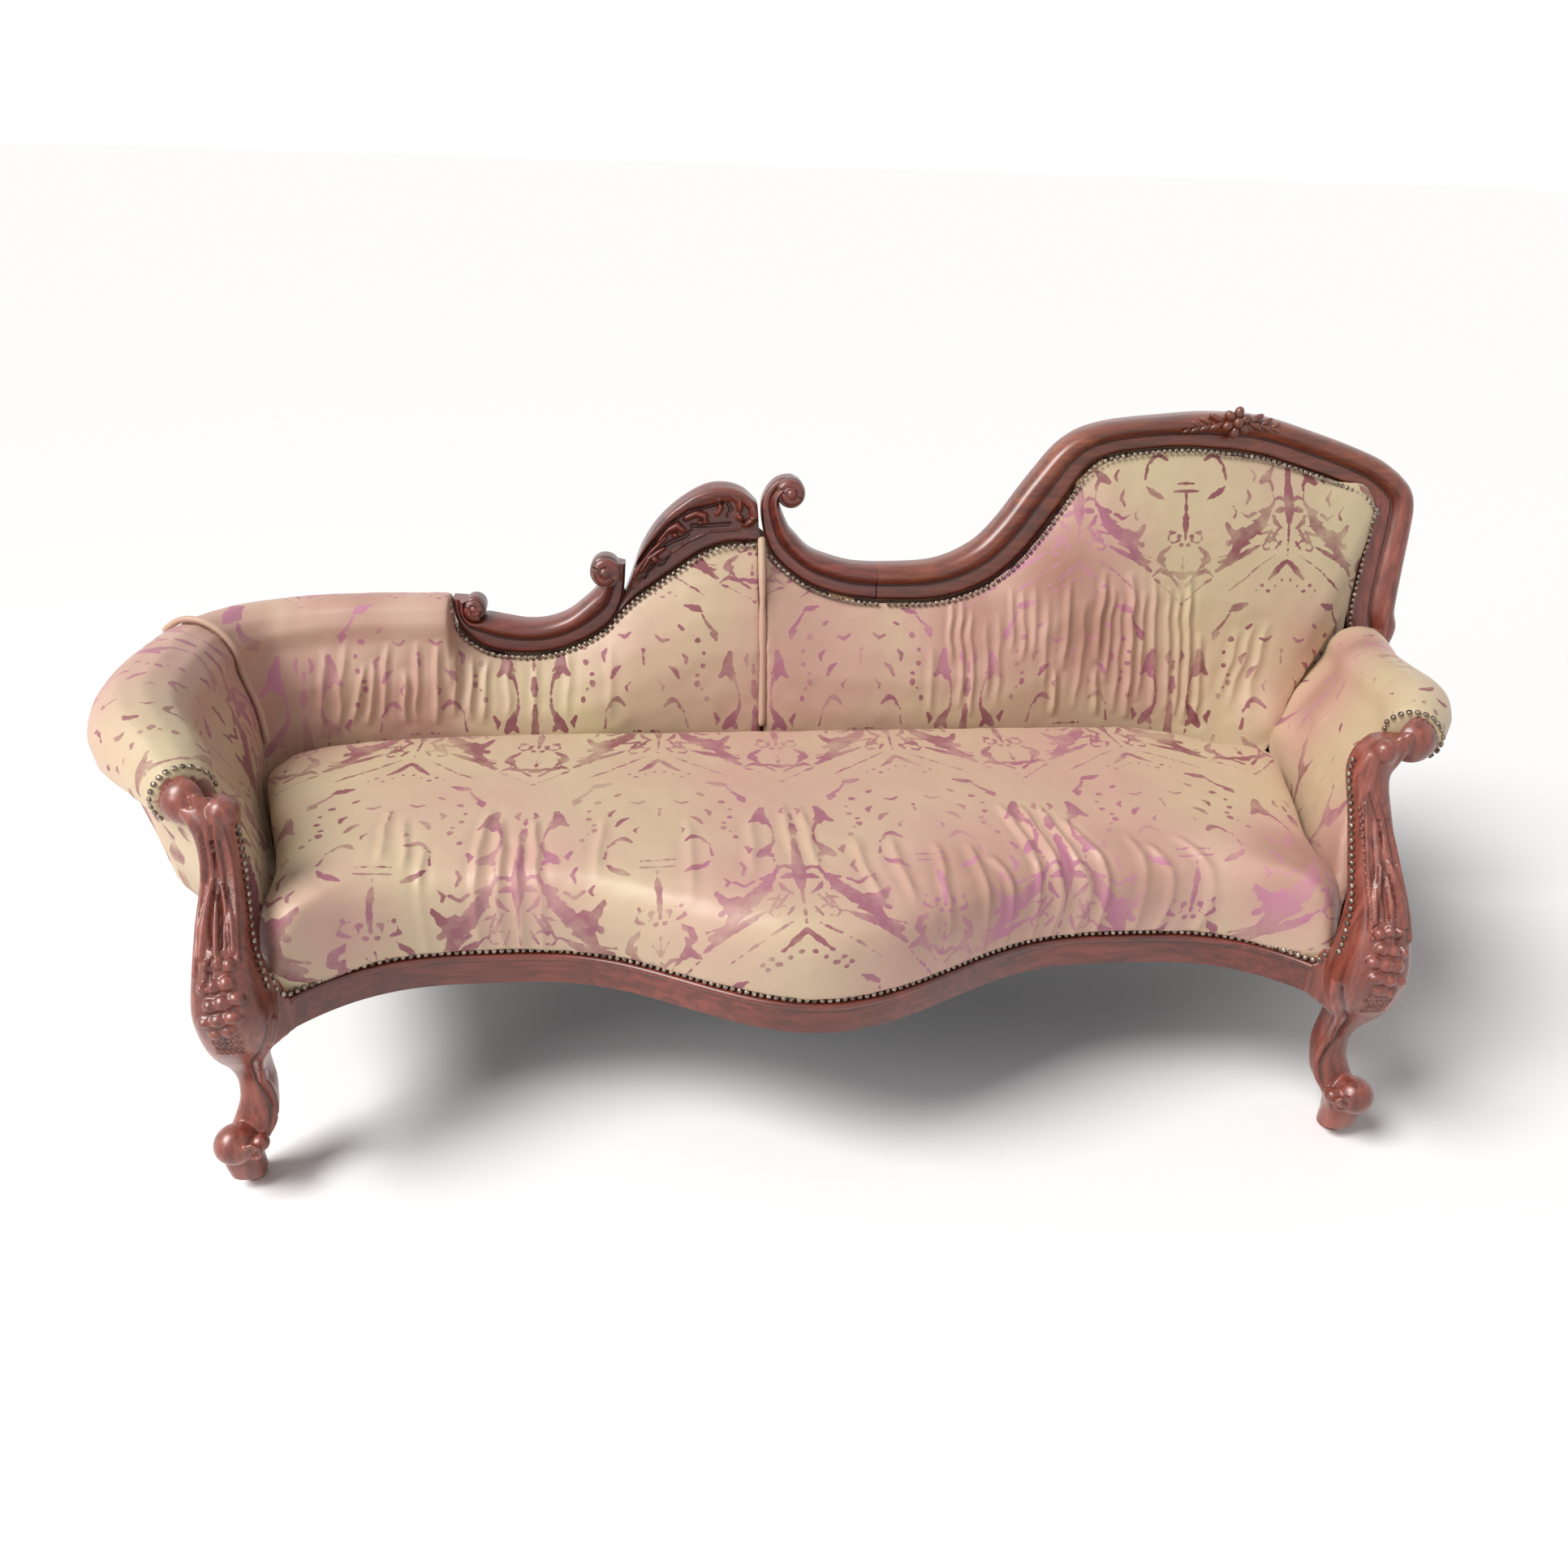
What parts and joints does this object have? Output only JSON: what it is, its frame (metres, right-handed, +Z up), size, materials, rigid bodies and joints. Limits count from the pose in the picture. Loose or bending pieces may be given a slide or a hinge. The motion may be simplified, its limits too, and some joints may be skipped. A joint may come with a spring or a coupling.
{
  "type": "chaise longue",
  "caption": "Serpentine-front chaise longue with scrolled arms, carved cabriole front legs, a stepped show-wood back and damask upholstery.",
  "frame": {"origin": "on the floor, under the middle of the whole chaise longue's box", "axes": "+X runs along the seat to the high head end, +Y to the back, +Z up"},
  "size_m": [2.1362, 0.8132, 0.9396],
  "materials": {
    "mahogany": "French-polished red-brown mahogany, carved and moulded",
    "beech": "plain sawn beech, hidden in the frame",
    "damask": "olive-gold silk damask with a dusty pink and maroon ogee pattern",
    "jute": "woven jute webbing and hessian",
    "spring_steel": "drawn spring wire and wood screws",
    "bottom_cloth": "black cotton bottoming cloth"
  },
  "bodies": {
    "root": {"front_rail": "mahogany", "rail_left": "beech", "rail_right": "beech", "rail_rear": "beech", "seat_braces": "beech", "corner_blocks": "beech", "leg_front_left": "mahogany", "leg_front_right": "mahogany", "leg_rear_left": "mahogany", "leg_rear_right": "mahogany", "scroll_left": "mahogany", "crest_carved": "mahogany", "scroll_tall": "mahogany", "crest_rail": "mahogany", "stile_right": "mahogany", "back_post_corner": "beech", "back_post_left": "beech", "back_post_middle": "beech", "back_post_head": "beech", "low_back_rail": "beech", "tack_rail": "beech", "arm_rail_left": "beech", "arm_rail_right": "beech", "arm_upright_left": "beech", "arm_upright_right": "beech", "seat_webbing": "jute", "seat_springs": "spring_steel", "spring_hessian": "jute", "dust_cover": "bottom_cloth", "back_webbing": "jute", "seat_cushion": "damask", "back_pad_left": "damask", "back_pad_right": "damask", "arm_pad_left": "damask", "arm_pad_right": "damask", "outside_back": "damask", "outside_arm_left": "damask", "outside_arm_right": "damask", "piping_corner": "damask", "piping_back": "damask", "rail_dowels": "beech", "corner_screws": "spring_steel"}
  },
  "joints": []
}
